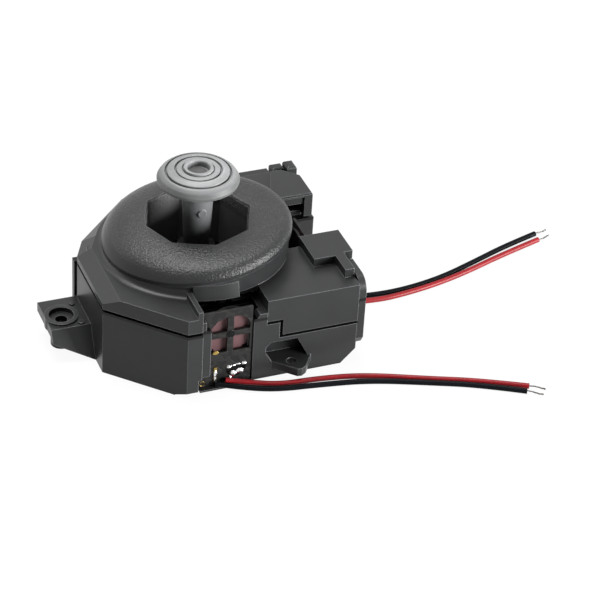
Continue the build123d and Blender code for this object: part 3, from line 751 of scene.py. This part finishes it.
def twist_strand(name, points, seed):
    start = Vector(points[-1])
    along = (start - Vector(points[-2])).normalized()
    along.z = 0.0
    side = Vector((-along.y, along.x, 0.0))
    data = bpy.data.curves.new(name + "_bare", "CURVE")
    data.dimensions = "3D"
    for strand in range(STRANDS):
        line = data.splines.new("NURBS")
        line.points.add(STEPS)
        for i, control in enumerate(line.points):
            gone = BARE_LENGTH * (i / STEPS) - TUCKED_IN
            turn = 2 * math.pi * (strand / STRANDS + TWISTS * i / STEPS)
            spread = SPREAD + FRAY * (i / STEPS) ** 2
            sway = SWAY * math.sin(SWAY_RATE * gone + seed)
            place = start + along * gone + side * (spread * math.cos(turn) + sway)
            place.z = max(LOWEST, start.z - SAG * gone + spread * math.sin(turn))
            control.co = (*(place * MM), 1.0)
        line.order_u = 3
        line.use_endpoint_u = True
        line.resolution_u = 4
    data.bevel_depth = STRAND_RADIUS * MM
    data.bevel_resolution = 3
    data.use_fill_caps = True
    made = bpy.data.objects.new(name + "_bare", data)
    bpy.context.scene.collection.objects.link(made)
    drop_selection()
    made.select_set(True)
    bpy.context.view_layer.objects.active = made
    bpy.ops.object.convert(target="MESH")
    made = settle(bpy.context.object, name + "_bare_strands", tinned_copper)
    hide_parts(name + "_strand")
    return made


for seed, (name, points) in enumerate(ROUTES.items()):
    wire = wires[name]
    length = line_length(wire)
    strand = twist_strand(name, points, seed)
    print(name, "wire", round(length / MM, 1), "mm long")

# %% [markdown]
# ## The table and the light
# The photograph has a white table with no horizon, and large soft lamps. White paint under stronger
# lamps would burn out the object, so the table glows white for the camera, for gloss and through
# clear pieces, and is a plain pale surface for the lamps, so that it still takes the soft shadow.
# The world is white in the same way, and dim as a light.

# %% Build the studio
BACKDROP_RAYS = ("Is Glossy Ray", "Is Transmission Ray")
TABLE_GLOW = 0.93
WORLD_LIGHT = 0.10
LAMP_AIM = (5, -5, 12)
# Each lamp has its place and size in mm, its power, and its share in highlights.
LAMPS = {
    "top_softbox": ((-40, 120, 520), (340, 340), 4.5, 0.8),
    "back_left_softbox": ((-330, 330, 260), (300, 300), 0.35, 0.5),
    "front_right_softbox": ((400, -380, 110), (320, 200), 7.8, 0.12),
}


def studio_floor():
    drop_selection()
    bpy.ops.mesh.primitive_plane_add(size=6.0, location=(0, 0, 0))
    table = bpy.context.object
    table.name = "table"
    board = Board("table_white")
    seen = board.node("ShaderNodeLightPath", {}, {}, "Is Camera Ray")
    for kind in BACKDROP_RAYS:
        ray = board.node("ShaderNodeLightPath", {}, {}, kind)
        seen = board.node("ShaderNodeMath", {"operation": "MAXIMUM"}, {0: seen, 1: ray})
    board.finish(Base_Color=grey(0.8), Roughness=0.9)
    pale = Wire(board, board.shader.outputs[0])
    glow = board.node("ShaderNodeEmission", {}, {"Color": grey(1.0), "Strength": 1.0})
    both = board.node("ShaderNodeMixShader", {}, {0: seen * TABLE_GLOW, 1: pale, 2: glow})
    board.feed(board.tree.nodes["Material Output"].inputs["Surface"], both)
    table.data.materials.append(board.material)


def lamp(name, at_mm, size_mm, power, shine):
    data = bpy.data.lights.new(name, "AREA")
    data.specular_factor = shine
    data.shape = "RECTANGLE"
    data.size = size_mm[0] * MM
    data.size_y = size_mm[1] * MM
    data.energy = power
    made = bpy.data.objects.new(name, data)
    made.location = Vector(at_mm) * MM
    made.rotation_euler = (Vector(LAMP_AIM) - Vector(at_mm)).to_track_quat("-Z", "Y").to_euler()
    bpy.context.scene.collection.objects.link(made)


def white_world():
    world = bpy.data.worlds.new("studio")
    world.use_nodes = True
    bpy.context.scene.world = world
    sky = world.node_tree
    background = sky.nodes["Background"]
    background.inputs["Color"].default_value = (1, 1, 1, 1)
    paths = sky.nodes.new("ShaderNodeLightPath")
    seen = paths.outputs["Is Camera Ray"]
    for kind in BACKDROP_RAYS:
        either = sky.nodes.new("ShaderNodeMath")
        either.operation = "MAXIMUM"
        sky.links.new(seen, either.inputs[0])
        sky.links.new(paths.outputs[kind], either.inputs[1])
        seen = either.outputs[0]
    strength = sky.nodes.new("ShaderNodeMapRange")
    strength.inputs["To Min"].default_value = WORLD_LIGHT
    strength.inputs["To Max"].default_value = 1.0
    sky.links.new(seen, strength.inputs["Value"])
    sky.links.new(strength.outputs[0], background.inputs["Strength"])


studio_floor()
for name, setting in LAMPS.items():
    lamp(name, *setting)
white_world()
bpy.context.scene.view_settings.view_transform = "Standard"
print("studio: a white table and", len(LAMPS), "soft lamps")
